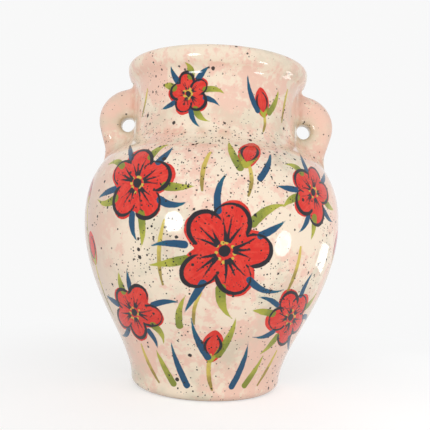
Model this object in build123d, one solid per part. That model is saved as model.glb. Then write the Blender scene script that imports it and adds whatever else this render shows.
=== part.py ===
from build123d import *
import os

# Hanging wall vase: half of a thrown vase luted to a flat back slab, with a base, a collar, a rim coil
# and two pierced ears that it hangs by. Millimetres, +Z up, +Y into the wall.
# Pieces are made with heights measured up from the foot, and then moved so that the origin lies on the
# wall plane, midway between the two hanging holes.

# Outer profile of the thrown body: each station is so far out or in from the station below it, and so
# far above it
FOOT_RADIUS = 57.5
FOOT_TOP_OUT = 3.5
FOOT_TOP_RISE = 20.0
LOWER_BELLY_OUT = 19.5
LOWER_BELLY_RISE = 40.0
BELLY_OUT = 18.9
BELLY_RISE = 67.0
SHOULDER_IN = 8.9
SHOULDER_RISE = 38.5
SHOULDER_TOP_IN = 11.5
SHOULDER_TOP_RISE = 13.0
NECK_ROOT_IN = 12.5
NECK_ROOT_RISE = 7.3
NECK_IN = 4.9
NECK_RISE = 7.2

# Directions of that profile at its two ends, as (outward, upward)
FOOT_DIRECTION = (0.12, 1.0)
NECK_DIRECTION = (-0.1, 1.0)

# Collar, which flares out from the neck, and the rolled rim on top of it
COLLAR_HEIGHT = 45.0
COLLAR_MIDDLE_FLARE = 1.3
COLLAR_TOP_FLARE = 7.2
RIM_OVERHANG = 2.4
RIM_THICKNESS = 9.5
RIM_HEIGHT = 12.0
RIM_CROWN = 0.5
RIM_UNDERSIDE_ROUND = 2.0
RIM_INNER_CORNER_ROUND = 6.0

# Clay thicknesses and the rounded edge of the foot
WALL = 6.0
SLAB_THICKNESS = 7.0
BASE_THICKNESS = 9.0
FOOT_EDGE_ROUND = 7.0

# Hanging hole: its size, its height above the neck and the clay left between it and the collar
HOLE_RADIUS = 5.5
HOLE_EDGE_ROUND = 2.0
HOLE_ABOVE_NECK = 9.0
HOLE_BRIDGE = 2.65

# Ear around each hole: a round lobe, whose centre lies above the hole's and nearer to the vase, drawn
# down into a smaller tail that runs into the shoulder
EAR_RADIUS = 25.2
EAR_ABOVE_HOLE = 4.2
EAR_INSIDE_HOLE = 1.5
TAIL_RADIUS = 17.5
TAIL_BELOW_HOLE = 18.0
EAR_THICKNESS = 15.0
EAR_EDGE_ROUND = 6.5
EAR_WALL_GAP = 1.0

# Clay coils pressed into the inside corners of the luted joints
SEAM_COIL = 6.0
SEAM_COIL_ROUND = 4.5

# Worked-out radii and heights above the foot, and a reach that is past the whole vase
FOOT_TOP_RADIUS = FOOT_RADIUS + FOOT_TOP_OUT
FOOT_TOP_HEIGHT = FOOT_TOP_RISE
LOWER_BELLY_RADIUS = FOOT_TOP_RADIUS + LOWER_BELLY_OUT
LOWER_BELLY_HEIGHT = FOOT_TOP_HEIGHT + LOWER_BELLY_RISE
BELLY_RADIUS = LOWER_BELLY_RADIUS + BELLY_OUT
BELLY_HEIGHT = LOWER_BELLY_HEIGHT + BELLY_RISE
SHOULDER_RADIUS = BELLY_RADIUS - SHOULDER_IN
SHOULDER_HEIGHT = BELLY_HEIGHT + SHOULDER_RISE
SHOULDER_TOP_RADIUS = SHOULDER_RADIUS - SHOULDER_TOP_IN
SHOULDER_TOP_HEIGHT = SHOULDER_HEIGHT + SHOULDER_TOP_RISE
NECK_ROOT_RADIUS = SHOULDER_TOP_RADIUS - NECK_ROOT_IN
NECK_ROOT_HEIGHT = SHOULDER_TOP_HEIGHT + NECK_ROOT_RISE
NECK_RADIUS = NECK_ROOT_RADIUS - NECK_IN
NECK_HEIGHT = NECK_ROOT_HEIGHT + NECK_RISE
HOLE_HEIGHT = NECK_HEIGHT + HOLE_ABOVE_NECK
COLLAR_TOP_HEIGHT = NECK_HEIGHT + COLLAR_HEIGHT
COLLAR_TOP_RADIUS = NECK_RADIUS + COLLAR_TOP_FLARE
REACH = COLLAR_TOP_HEIGHT + RIM_HEIGHT + BELLY_RADIUS

# Points that carry a profile inwards, and halvings that find a height on it
INNER_PROFILE_POINTS = 33
HALVINGS = 40


def body_profile():
    """Outer profile of the thrown body in the XZ plane, from the foot up to the neck."""
    stations = [
        (FOOT_RADIUS, 0, 0),
        (FOOT_TOP_RADIUS, 0, FOOT_TOP_HEIGHT),
        (LOWER_BELLY_RADIUS, 0, LOWER_BELLY_HEIGHT),
        (BELLY_RADIUS, 0, BELLY_HEIGHT),
        (SHOULDER_RADIUS, 0, SHOULDER_HEIGHT),
        (SHOULDER_TOP_RADIUS, 0, SHOULDER_TOP_HEIGHT),
        (NECK_ROOT_RADIUS, 0, NECK_ROOT_HEIGHT),
        (NECK_RADIUS, 0, NECK_HEIGHT),
    ]
    directions = [(out, 0, up) for out, up in (FOOT_DIRECTION, NECK_DIRECTION)]
    return Spline(*stations, tangents=directions)


def collar_profile():
    """Outer profile of the collar in the XZ plane, a slow flare from the neck to the rim."""
    return ThreePointArc(
        (NECK_RADIUS, 0, NECK_HEIGHT),
        (NECK_RADIUS + COLLAR_MIDDLE_FLARE, 0, NECK_HEIGHT + COLLAR_HEIGHT / 2),
        (COLLAR_TOP_RADIUS, 0, COLLAR_TOP_HEIGHT),
    )


def radius_at(profile, height):
    """Radius of a rising profile at a height, found by halving the stretch that holds it."""
    low = 0.0
    high = 1.0
    for _ in range(HALVINGS):
        middle = (low + high) / 2
        if (profile @ middle).Z < height:
            low = middle
        else:
            high = middle
    return (profile @ low).X


def further_in(profile, distance):
    """The same profile, moved towards the axis by a distance measured square to the surface."""
    points = []
    for step in range(INNER_PROFILE_POINTS):
        share = step / (INNER_PROFILE_POINTS - 1)
        along = profile % share
        inward = Vector(-along.Z, 0, along.X)
        points.append(profile @ share + inward * distance)
    return Spline(*points)


def filled(profile, longer=0):
    """The face between a profile and the axis; the profile may be made longer, straight up and down."""
    low = profile @ 0
    high = profile @ 1
    bottom = low - Vector(0, 0, longer)
    top = high + Vector(0, 0, longer)
    edges = [
        profile,
        Line(top, (0, 0, top.Z)),
        Line((0, 0, top.Z), (0, 0, bottom.Z)),
        Line((0, 0, bottom.Z), bottom),
    ]
    if longer > 0:
        edges += [Line(bottom, low), Line(high, top)]
    return make_face(Wire(edges))


def half_turned(section):
    """Half of the turned form of a section, on the room side of the back slab."""
    return Pos(0, -SLAB_THICKNESS, 0) * Rot(0, 0, 180) * revolve(section, Axis.Z, 180)


def block(back, front, low, high):
    """A block wider than the vase, between two distances from the wall and two heights."""
    middle = Pos(0, -(back + front) / 2, (low + high) / 2)
    return middle * Box(2 * REACH, front - back, high - low)


def base_slab(body):
    """Half-round floor of the vase, under the wall and against the back slab."""
    floor = body & block(0, REACH, 0, BASE_THICKNESS)
    edge = floor.edges().group_by(Axis.Z)[0].filter_by(GeomType.CIRCLE)
    return fillet(edge, FOOT_EDGE_ROUND)


def back_slab():
    """Flat slab with the outline of the vase, which closes its back and lies on the wall."""
    right = body_profile() + collar_profile()
    left = mirror(right, Plane.YZ)
    foot = Line((-FOOT_RADIUS, 0, 0), (FOOT_RADIUS, 0, 0))
    top = Line((-COLLAR_TOP_RADIUS, 0, COLLAR_TOP_HEIGHT), (COLLAR_TOP_RADIUS, 0, COLLAR_TOP_HEIGHT))
    outline = make_face(Wire([*right.edges(), *left.edges(), foot, top]))
    slab = extrude(outline, SLAB_THICKNESS, dir=(0, -1, 0))
    corners = slab.edges().filter_by(Axis.Y).group_by(Axis.Z)[0]
    return fillet(corners, FOOT_EDGE_ROUND)


def rim_coil():
    """Rolled coil of clay that caps the collar and the top of the back slab as one D-shaped lip."""
    radius = COLLAR_TOP_RADIUS + RIM_OVERHANG
    centre = Pos(0, -SLAB_THICKNESS)
    back_run = Pos(0, -SLAB_THICKNESS / 2) * Rectangle(2 * radius, SLAB_THICKNESS)
    room_side = Pos(0, -REACH / 2) * Rectangle(REACH, REACH)
    outside = (centre * Circle(radius) & room_side) + back_run
    clear_of_back = Pos(0, -RIM_THICKNESS - REACH / 2) * Rectangle(REACH, REACH)
    inside = centre * Circle(radius - RIM_THICKNESS) & clear_of_back
    inside = fillet(inside.vertices(), RIM_INNER_CORNER_ROUND)
    lip = Pos(0, 0, COLLAR_TOP_HEIGHT) * extrude(outside - inside, RIM_HEIGHT)
    lip = fillet(lip.edges().filter_by(Axis.Z).group_by(Axis.Y)[-1], RIM_OVERHANG)
    lip = fillet(lip.faces().sort_by(Axis.Z)[-1].edges(), (RIM_THICKNESS - RIM_CROWN) / 2)
    under = lip.faces().sort_by(Axis.Z)[0].edges().filter_by(GeomType.CIRCLE)
    return fillet(under.sort_by(SortBy.LENGTH)[-1], RIM_UNDERSIDE_ROUND)


def right_ear(neighbours):
    """Thick lobe of clay luted to the collar and the shoulder, pierced from front to back."""
    hole_x = radius_at(collar_profile(), HOLE_HEIGHT) + HOLE_BRIDGE + HOLE_RADIUS
    lobe = Pos(-EAR_INSIDE_HOLE, EAR_ABOVE_HOLE) * CenterArc((0, 0), EAR_RADIUS, 0, 360)
    tail = Pos(0, -TAIL_BELOW_HOLE) * CenterArc((0, 0), TAIL_RADIUS, 0, 360)
    plate = extrude(make_hull([lobe.edge(), tail.edge()]), EAR_THICKNESS)
    plate = fillet(plate.faces().filter_by(Axis.Z).edges(), EAR_EDGE_ROUND)
    plate = plate - Cylinder(HOLE_RADIUS, 4 * EAR_THICKNESS)
    mouths = plate.edges().filter_by(GeomType.CIRCLE).group_by(SortBy.RADIUS)[0]
    plate = fillet(mouths, HOLE_EDGE_ROUND)
    ear = Pos(hole_x, -EAR_WALL_GAP, HOLE_HEIGHT) * Rot(90, 0, 0) * plate
    for solid in neighbours:
        ear = ear - solid
    return ear


def right_coil(belly, core):
    """Coil in the right-hand corner between the back slab and the wall, from the floor to the neck."""
    corner = block(SLAB_THICKNESS, SLAB_THICKNESS + SEAM_COIL, BASE_THICKNESS, NECK_HEIGHT)
    right_half = Pos(REACH, 0, 0) * corner
    return (belly & right_half) - core


def floor_coil(belly, core):
    """Coil in the corner between the floor and the wall, from one upright coil round to the other."""
    front_of_coils = block(SLAB_THICKNESS + SEAM_COIL, REACH, BASE_THICKNESS, BASE_THICKNESS + SEAM_COIL)
    ring = (belly & front_of_coils) - core
    inner = ring.faces().sort_by(Axis.Z)[-1].edges().sort_by(SortBy.LENGTH)[-2]
    return fillet(inner, SEAM_COIL_ROUND)


outer_body = half_turned(filled(body_profile()))
outer_collar = half_turned(filled(collar_profile()))
belly_cavity = half_turned(filled(further_in(body_profile(), WALL), REACH))
neck_cavity = half_turned(filled(further_in(collar_profile(), WALL), REACH))
belly_core = half_turned(filled(further_in(body_profile(), WALL + SEAM_COIL), REACH))

pieces = {}
pieces["back_slab"] = back_slab()
pieces["base_slab"] = base_slab(outer_body)
pieces["front_wall"] = (outer_body - belly_cavity) & block(0, REACH, BASE_THICKNESS, NECK_HEIGHT)
pieces["collar"] = outer_collar - neck_cavity
pieces["rim_coil"] = rim_coil()
pieces["right_ear"] = right_ear([outer_body, outer_collar, pieces["back_slab"], pieces["rim_coil"]])
pieces["left_ear"] = mirror(pieces["right_ear"], Plane.YZ)
pieces["floor_coil"] = floor_coil(belly_cavity, belly_core)
pieces["right_coil"] = right_coil(belly_cavity, belly_core)
pieces["left_coil"] = mirror(pieces["right_coil"], Plane.YZ)

to_hanging_line = Pos(0, 0, -HOLE_HEIGHT)
os.makedirs("parts", exist_ok=True)
for name, piece in pieces.items():
    export_step(to_hanging_line * piece, f"parts/{name}.step")
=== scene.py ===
import math

import bpy
import numpy as np
from mathutils import Matrix, Vector


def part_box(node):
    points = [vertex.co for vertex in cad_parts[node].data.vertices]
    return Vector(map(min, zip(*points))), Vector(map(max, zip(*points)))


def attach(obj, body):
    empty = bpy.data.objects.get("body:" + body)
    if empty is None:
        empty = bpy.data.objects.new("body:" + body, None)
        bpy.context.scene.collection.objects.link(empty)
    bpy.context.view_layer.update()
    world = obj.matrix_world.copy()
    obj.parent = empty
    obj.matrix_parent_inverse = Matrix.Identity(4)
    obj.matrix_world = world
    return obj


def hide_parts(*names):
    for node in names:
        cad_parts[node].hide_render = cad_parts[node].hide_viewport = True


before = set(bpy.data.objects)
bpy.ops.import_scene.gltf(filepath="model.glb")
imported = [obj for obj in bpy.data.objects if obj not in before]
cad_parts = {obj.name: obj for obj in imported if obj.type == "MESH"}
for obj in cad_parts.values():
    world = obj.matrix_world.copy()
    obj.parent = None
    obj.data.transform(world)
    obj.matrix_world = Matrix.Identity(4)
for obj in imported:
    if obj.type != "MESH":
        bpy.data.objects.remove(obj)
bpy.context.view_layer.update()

# Every length below is in millimetres, and every height is above the foot, until a mesh is written. The
# finishes take Object coordinates, so their heights are above the hanging holes.
MM = 0.001
FOOT_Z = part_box("base_slab")[0][2] / MM
SLAB_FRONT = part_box("back_slab")[0][1] / MM
BASE_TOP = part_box("base_slab")[1][2] / MM - FOOT_Z
RIM_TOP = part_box("rim_coil")[1][2] / MM - FOOT_Z
COLLAR_FOOT = 193.0
COLLAR_TOP = 238.0
WALL = 6.0
RIM_OUT = 71.2
RIM_IN = 61.7
RIM_BACK_THICK = 9.5
FOOT_ROUND = 7.0
BACK_EDGE_ROUND = 2.5
HOLE_X = 69.74
HOLE_HEIGHT = -FOOT_Z
HOLE_RADIUS = 5.5


# Camera.

PICTURE_WIDTH = 430.0
FOCAL_LENGTH = 600.0
SENSOR_WIDTH = 36.0
CAMERA_ACROSS = 4.4
CAMERA_AWAY = 480.0
CAMERA_HEIGHT = 119.3
CAMERA_SWING = 0.23
CAMERA_TILT = 1.68
CAMERA_ROLL = 2.47


def set_camera():
    """A camera in front of the half-round's axis, a little to the right of the middle and just below the
    belly's widest ring, tilted up and rolled by small angles in degrees. Its focal length is given in
    pixels of the picture's width."""
    data = bpy.data.cameras.new("camera")
    data.sensor_fit = "HORIZONTAL"
    data.sensor_width = SENSOR_WIDTH
    data.lens = FOCAL_LENGTH / PICTURE_WIDTH * SENSOR_WIDTH
    data.clip_start = 0.01
    camera = bpy.data.objects.new("camera", data)
    place = Matrix.Translation(
        (CAMERA_ACROSS * MM, (SLAB_FRONT - CAMERA_AWAY) * MM, (CAMERA_HEIGHT + FOOT_Z) * MM))
    swing = Matrix.Rotation(math.radians(CAMERA_SWING), 4, "Z")
    tilt = Matrix.Rotation(math.radians(90.0 + CAMERA_TILT), 4, "X")
    roll = Matrix.Rotation(math.radians(CAMERA_ROLL), 4, "Z")
    camera.matrix_world = place @ swing @ tilt @ roll
    bpy.context.collection.objects.link(camera)
    bpy.context.scene.camera = camera


set_camera()
bpy.context.scene.view_settings.view_transform = "Standard"


# Outline of the vase.

def smooth_curve(stations, first, last, count):
    """Points on the twice-smooth cubic through the stations, with set directions at both ends. The
    parameter is the chord length, and the slopes at the stations solve the spline's own equations."""
    step = np.hypot(*np.diff(stations, axis=0).T)
    chord = np.diff(stations, axis=0) / step[:, None]
    size = len(stations)
    system = np.eye(size)
    right = np.zeros((size, 2))
    right[0] = np.array(first) / np.hypot(*first)
    right[-1] = np.array(last) / np.hypot(*last)
    inner = np.arange(1, size - 1)
    system[inner, inner - 1] = 1 / step[:-1]
    system[inner, inner] = 2 / step[:-1] + 2 / step[1:]
    system[inner, inner + 1] = 1 / step[1:]
    right[inner] = 3 * (chord[:-1] / step[:-1, None] + chord[1:] / step[1:, None])
    slope = np.linalg.solve(system, right)
    knots = np.concatenate([[0.0], np.cumsum(step)])
    at = np.linspace(0, knots[-1], count)
    part = np.clip(np.searchsorted(knots, at, side="right") - 1, 0, size - 2)
    run = step[part][:, None]
    t = (at - knots[part])[:, None] / run
    start = stations[part] * (1 + 2 * t) * (1 - t) ** 2 + slope[part] * run * t * (1 - t) ** 2
    end = stations[part + 1] * (3 - 2 * t) * t ** 2 + slope[part + 1] * run * (t - 1) * t ** 2
    return start + end


def outline():
    """The outside as (radius, height): a quarter round under the foot, then one smooth curve up the
    waisted foot, the belly, the shoulder, the neck and the flaring collar to the lip."""
    stations = np.array([
        (58.05, FOOT_ROUND), (61.0, 20.0), (80.5, 60.0), (99.4, 127.0), (90.5, 165.5), (79.0, 178.5),
        (69.8, 185.0), (65.7, 191.6), (64.6, 198.0), (64.05, 208.0), (63.75, 218.0), (63.75, 227.5),
        (64.3, 232.0), (66.2, 235.4), (68.8, 237.9), (70.5, 240.5), (RIM_OUT, 245.0),
    ])
    turn = np.linspace(-np.pi / 2, 0, 60, endpoint=False)
    foot = np.stack([
        stations[0, 0] + FOOT_ROUND * (np.cos(turn) - 1),
        FOOT_ROUND * (1 + np.sin(turn)),
    ], 1)
    return np.concatenate([foot, smooth_curve(stations, (0.05, 1.0), (0.0, 1.0), 2400)])


SKIN = outline()
SKIN_RUN = np.concatenate([[0.0], np.cumsum(np.hypot(*np.diff(SKIN, axis=0).T))])
SKIN_TURN = np.gradient(SKIN, axis=0)
SKIN_OUT = np.stack([SKIN_TURN[:, 1], -SKIN_TURN[:, 0]], 1) / np.hypot(*SKIN_TURN.T)[:, None]
LINING = SKIN - WALL * SKIN_OUT


def run_at(height):
    """Distance along the outline from the foot to a height."""
    return np.interp(height, SKIN[:, 1], SKIN_RUN)


def radius_at(height):
    """Outside radius at a height."""
    return np.interp(height, SKIN[:, 1], SKIN[:, 0])


def lining_at(height):
    """Inside radius at a height, one wall thickness in from the outline."""
    return np.interp(height, LINING[:, 1], LINING[:, 0])


SEAM_INSET = 0.05


def skin_rows(low, high, count):
    """Evenly spaced (radius, height, run) rows of the outline from one height to another, with one more
    row just in from each end so that the shading reaches the seam square to the outline."""
    first, last = run_at(low), run_at(high)
    run = np.linspace(first, last, count)
    run = np.concatenate([[first, first + SEAM_INSET], run[1:-1], [last - SEAM_INSET, last]])
    return np.stack([np.interp(run, SKIN_RUN, SKIN[:, 0]), np.interp(run, SKIN_RUN, SKIN[:, 1]), run], 1)


# Pieces.

def make_piece(name, node, points, faces, finish, attributes=None, sharp=None, chart=None):
    """A closed mesh from points in millimetres that stands for one CAD node and rides on the vase. The
    chart, where there is one, is the place of each face's corners on a flat sheet."""
    mesh = bpy.data.meshes.new(name)
    placed = (points + np.array([0.0, 0.0, FOOT_Z])) * MM
    mesh.from_pydata(placed, [], faces)
    mesh.shade_smooth()
    if sharp is not None:
        ends = np.empty(len(mesh.edges) * 2, np.int32)
        mesh.edges.foreach_get("vertices", ends)
        mesh.edges.foreach_set("use_edge_sharp", sharp(*ends.reshape(-1, 2).T))
    if chart is not None:
        mesh.uv_layers.new(name="OFBake").data.foreach_set("uv", chart.astype(np.float32).ravel())
    for key, value in (attributes or {}).items():
        mesh.attributes.new(key, "FLOAT", "POINT").data.foreach_set("value", value.astype(np.float32))
    mesh.update()
    mesh.materials.append(finish)
    piece = bpy.data.objects.new(name, mesh)
    bpy.context.collection.objects.link(piece)
    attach(piece, "root")
    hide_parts(node)


def net(strands, size, joined=False, looped=True):
    """Quads between each strand of size points and the next one. A joined net runs on from the last strand
    to the first, and in a looped one every strand's end meets its own start."""
    strand, place = np.meshgrid(
        np.arange(strands if joined else strands - 1),
        np.arange(size if looped else size - 1), indexing="ij")
    ahead, after = (strand + 1) % strands, (place + 1) % size
    return np.stack([
        strand * size + place, strand * size + after, ahead * size + after, ahead * size + place,
    ], -1).reshape(-1, 4)


def seams(size, places, strands=()):
    """A test for a net's sharp edges: those that run from strand to strand at the given places, and those
    that lie in the given strands."""
    def sharp(a, b):
        along = (a % size == b % size) & np.isin(a % size, places)
        within = (a // size == b // size) & np.isin(a // size, strands)
        return along | within

    return sharp


def carried_round(radius, height, turn):
    """A section's points carried round the half circle in front of the slab, one strand for each turn."""
    return np.stack(np.broadcast_arrays(
        radius * np.cos(turn), SLAB_FRONT - radius * np.sin(turn), height + 0 * turn), -1).reshape(-1, 3)


OFF_WALL = 1e4


def half_ring(low, high, rows, lining_rows, columns):
    """The section between outline and lining, closed by flat joints at both heights, carried round the
    half circle from the right end of the slab past the front to its left end. Returns the points, the
    faces, a test for joint edges, each point's unrolled place, which is far off for the lining, and the
    faces' chart."""
    outer = skin_rows(low, high, rows)
    height = np.linspace(high, low, lining_rows)
    inner = np.stack([lining_at(height), height, np.full(lining_rows, OFF_WALL)], 1)
    section = np.concatenate([outer, inner])
    radius, height, run = section.T
    turn = np.linspace(0, np.pi, columns + 1)[:, None]
    points = carried_round(radius, height, turn)
    size = len(section)
    right_end = np.arange(size)[::-1]
    left_end = columns * size + np.arange(size)
    faces = net(columns + 1, size).tolist() + [right_end.tolist(), left_end.tolist()]
    sharp = seams(size, (0, len(outer) - 1, len(outer), size - 1), (0, columns))
    across = (np.pi / 2 - turn) * radius + 0 * turn
    unrolled = across.ravel(), np.broadcast_to(run, across.shape).ravel()
    chart = ring_chart(outer[:, 2], lining_rows, columns, section[:, :2])
    return points, faces, sharp, unrolled, chart


CHART_OUTSIDE = 0.300, 0.996
CHART_FOOT_JOINT = 0.287, 0.295
CHART_TOP_JOINT = 0.276, 0.284
CHART_LINING = 0.270, 0.004
CHART_ROUND = 0.004, 0.920
CHART_RIGHT_END = 0.930, 0.005
CHART_LEFT_END = 0.967, 0.005
CHART_END_SIZE = 0.028, 0.990


def ring_chart(run, lining_rows, columns, section):
    """Where a half ring's faces lie on the unit square: the outside fills the upper part of it, the
    lining the lower part, the two joints thin strips between them, and the two ends the right edge."""
    outside = np.interp(run, (run[0], run[-1]), CHART_OUTSIDE)
    lining = np.linspace(*CHART_LINING, lining_rows)
    first = np.concatenate([outside[:-1], CHART_TOP_JOINT[:1], lining[:-1], CHART_FOOT_JOINT[:1]])
    second = np.concatenate([outside[1:], CHART_TOP_JOINT[1:], lining[1:], CHART_FOOT_JOINT[1:]])
    v = np.stack([first, second, second, first], -1) + np.zeros((columns, 1, 1))
    line = np.linspace(*CHART_ROUND, columns + 1)
    u = line[np.arange(columns)[:, None, None] + np.array([0, 0, 1, 1])] + 0 * v
    end = (section - section.min(0)) / np.ptp(section, axis=0) * CHART_END_SIZE
    right_end, left_end = end + CHART_RIGHT_END, end + CHART_LEFT_END
    return np.concatenate([np.stack([u, v], -1).reshape(-1, 2), right_end[::-1], left_end])


def base_half_disc(columns):
    """A half disc: the foot's quarter round and the start of the outline carried round the half circle,
    closed by a flat underside, a flat top and the straight joint against the slab."""
    rows = skin_rows(0.0, BASE_TOP, 24)
    radius, height, _ = rows.T
    points = carried_round(radius, height, np.linspace(0, np.pi, columns + 1)[:, None])
    size = len(rows)
    ring = np.arange(columns + 1) * size
    joint = np.concatenate([np.arange(size)[::-1], columns * size + np.arange(size)])
    caps = [ring.tolist(), (ring + size - 1)[::-1].tolist(), joint.tolist()]
    faces = net(columns + 1, size, looped=False).tolist() + caps
    return points, faces, seams(size, (0, size - 1), (0, columns))


def slab_plate(rows, columns):
    """A flat plate whose half width at each height is the outline's radius. Each row is a loop round the
    plate: up the right side, a quarter round onto the wall face, across it, and back along the front."""
    height = np.interp(np.linspace(0, run_at(COLLAR_TOP), rows), SKIN_RUN, SKIN[:, 1])
    half = radius_at(height)[:, None]
    round_turn = np.linspace(0, np.pi / 2, 7)
    side = np.linspace(SLAB_FRONT, -BACK_EDGE_ROUND, 5)[:-1]
    inset = np.concatenate([0 * side, BACK_EDGE_ROUND * (1 - np.cos(round_turn))])
    depth = np.concatenate([side, BACK_EDGE_ROUND * (np.sin(round_turn) - 1)])
    across = np.linspace(1, -1, columns)[1:-1]
    right_x, right_y = half - inset, depth + 0 * half
    wall_x, wall_y = across * (half - BACK_EDGE_ROUND), 0 * across + 0 * half
    front_x, front_y = -across * half, SLAB_FRONT + 0 * across + 0 * half
    x = np.concatenate([right_x, wall_x, -right_x[:, ::-1], front_x], 1)
    y = np.concatenate([right_y, wall_y, right_y[:, ::-1], front_y], 1)
    points = np.stack([x, y, height[:, None] + 0 * x], -1)
    size = x.shape[1]
    foot = np.arange(size)[::-1]
    top = (rows - 1) * size + np.arange(size)
    faces = net(rows, size).tolist() + [foot.tolist(), top.tolist()]
    left_front = len(inset) * 2 + len(across) - 1
    return points.reshape(-1, 3), faces, seams(size, (0, left_front), (0, rows - 1))


RIM_CORNER_ROUND = 5.0
RIM_INNER_LEAN = math.radians(8.5)
RIM_KNEE_X = 61.65
RIM_STRAIGHT_X = 55.0


def rim_roll():
    """A rolled lip carried round the mouth's D. Two matched plan curves, the outer and the inner edge of
    the rim, are blended point for point by the section: up the flare, over a half ellipse, and down."""
    front, corner, back = 240, 12, 96
    turn = np.linspace(0, np.pi, front)
    bend = np.linspace(0, np.pi / 2, corner)
    line = np.linspace(-1, 1, back)[1:-1]

    outer_front = np.stack([RIM_OUT * np.cos(turn), SLAB_FRONT - RIM_OUT * np.sin(turn)], 1)
    bent = RIM_CORNER_ROUND * np.stack([1 - np.cos(bend), np.sin(bend) - 1], 1)
    left = np.array([-RIM_OUT, 0.0]) + bent
    outer_back = np.stack([line * (RIM_OUT - RIM_CORNER_ROUND), 0 * line], 1)
    right = left[::-1] * np.array([-1, 1])
    outer = np.concatenate([outer_front, left, outer_back, right])

    inner_turn = np.linspace(RIM_INNER_LEAN, np.pi - RIM_INNER_LEAN, front)
    inner_front = np.stack([RIM_IN * np.cos(inner_turn), SLAB_FRONT - RIM_IN * np.sin(inner_turn)], 1)
    start = inner_front[-1]
    knee = np.array([-RIM_KNEE_X, -RIM_BACK_THICK])
    end = np.array([-RIM_STRAIGHT_X, -RIM_BACK_THICK])
    t = np.linspace(0, 1, corner + 1)[1:, None]
    left = start * (1 - t) ** 2 + knee * 2 * t * (1 - t) + end * t ** 2
    inner_back = np.stack([line * RIM_STRAIGHT_X, 0 * line - RIM_BACK_THICK], 1)
    right = left[::-1] * np.array([-1, 1])
    inner = np.concatenate([inner_front, left, inner_back, right])

    thick = RIM_OUT - RIM_IN
    lip_height = SKIN[-1, 1]
    flare = skin_rows(COLLAR_TOP, lip_height, 8)
    over = np.linspace(0, np.pi, 28)[1:-1]
    top = np.stack([0.5 * (1 - np.cos(over)), lip_height + (RIM_TOP - lip_height) * np.sin(over)], 1)
    down = np.linspace(lip_height, COLLAR_TOP, 7)
    fall = (lip_height - down) / (lip_height - COLLAR_TOP)
    lowest = (RIM_OUT - lining_at(COLLAR_TOP)) / thick
    inside = np.stack([1 + (lowest - 1) * fall ** 2, down], 1)
    section = np.concatenate([np.stack([(RIM_OUT - flare[:, 0]) / thick, flare[:, 1]], 1), top, inside])
    share, height = section.T

    behind = np.clip((outer[:, 1] - SLAB_FRONT) / -SLAB_FRONT, 0, 1)[:, None]
    low = (np.arange(len(section)) < len(flare))[None, :]
    share = np.where(low, share * (1 - behind), share + 0 * behind)[..., None]
    plan = outer[:, None] * (1 - share) + inner[:, None] * share
    points = np.concatenate([plan, np.broadcast_to(height[:, None], plan[..., :1].shape)], -1)
    size = len(section)
    return points.reshape(-1, 3), net(len(outer), size, joined=True).tolist(), seams(size, (0, size - 1))


# Ears.

def soft_least(a, b, reach):
    """The lesser of two distances, rounded over where they differ by less than the reach."""
    return np.minimum(a, b) - np.maximum(reach - np.abs(a - b), 0) ** 2 / (4 * reach)


def ease(low, high, value):
    """Smooth step from 0 at low to 1 at high."""
    t = np.clip((value - low) / (high - low), 0, 1)
    return t * t * (3 - 2 * t)


DEPTH_STEP = 0.5
DEPTH_RADII = np.arange(40.0, 112.0, DEPTH_STEP)
DEPTH_HEIGHTS = np.arange(140.0, 252.0, DEPTH_STEP)
DEPTH_MARGIN = 30.0


def depth_table():
    """Signed distance from the outline for a grid of radii and heights, negative inside the vase."""
    radius, height = np.meshgrid(DEPTH_RADII, DEPTH_HEIGHTS, indexing="ij")
    near = SKIN[::4]
    near = near[near[:, 1] > DEPTH_HEIGHTS[0] - DEPTH_MARGIN]
    gap = np.full(radius.shape, np.inf)
    for chunk in np.array_split(near, 12):
        away = np.hypot(radius[..., None] - chunk[:, 0], height[..., None] - chunk[:, 1]).min(-1)
        gap = np.minimum(gap, away)
    return np.where(radius < radius_at(height), -gap, gap)


DEPTH = depth_table()


def depth_in_vase(x, y, height):
    """Distance from the vase's outside, read between the entries of the table: the half round in front of
    the slab's face, and the slab's straight side behind it."""
    radius = np.hypot(x, np.minimum(y - SLAB_FRONT, 0))
    i = np.clip((radius - DEPTH_RADII[0]) / DEPTH_STEP, 0, len(DEPTH_RADII) - 1.001)
    j = np.clip((height - DEPTH_HEIGHTS[0]) / DEPTH_STEP, 0, len(DEPTH_HEIGHTS) - 1.001)
    a, b = i.astype(int), j.astype(int)
    u, v = i - a, j - b
    low = DEPTH[a, b] * (1 - u) + DEPTH[a + 1, b] * u
    high = DEPTH[a, b + 1] * (1 - u) + DEPTH[a + 1, b + 1] * u
    return low * (1 - v) + high * v


EAR_LOBE = np.array([68.24, 206.2])
EAR_LOBE_RADIUS = 25.2
EAR_TAIL = np.array([69.74, 184.0])
EAR_TAIL_RADIUS = 17.5
EAR_BACK = -1.0
EAR_CUT = -0.05
EAR_THICK = 15.0
EAR_ROUND = 7.0
EAR_CREST = 13.5
EAR_SINK = 3.0
EAR_ROOT = 3.2
EAR_EDGE_SOFT = 1.2
EAR_MOUTH_SOFT = 4.5
FILLET_BELOW = 13.0
FILLET_ABOVE = 10.0
FILLET_CHANGE = 178.0, 205.0
FILLET_CORE = 0.25
SKIRT_DIVE = 3.0
SKIRT_BEND = 0.95, 2.4
SKIRT_END = 1.37
EAR_SPANS = (44.0, 100.0), (-44.0, 1.7), (140.0, 249.0)
EAR_GRID = 0.85
SETTLE_ROUNDS = 3
SETTLE_PROBE = 0.05
SETTLE_MOST = 0.4
SETTLE_STEEP = 0.2


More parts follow.
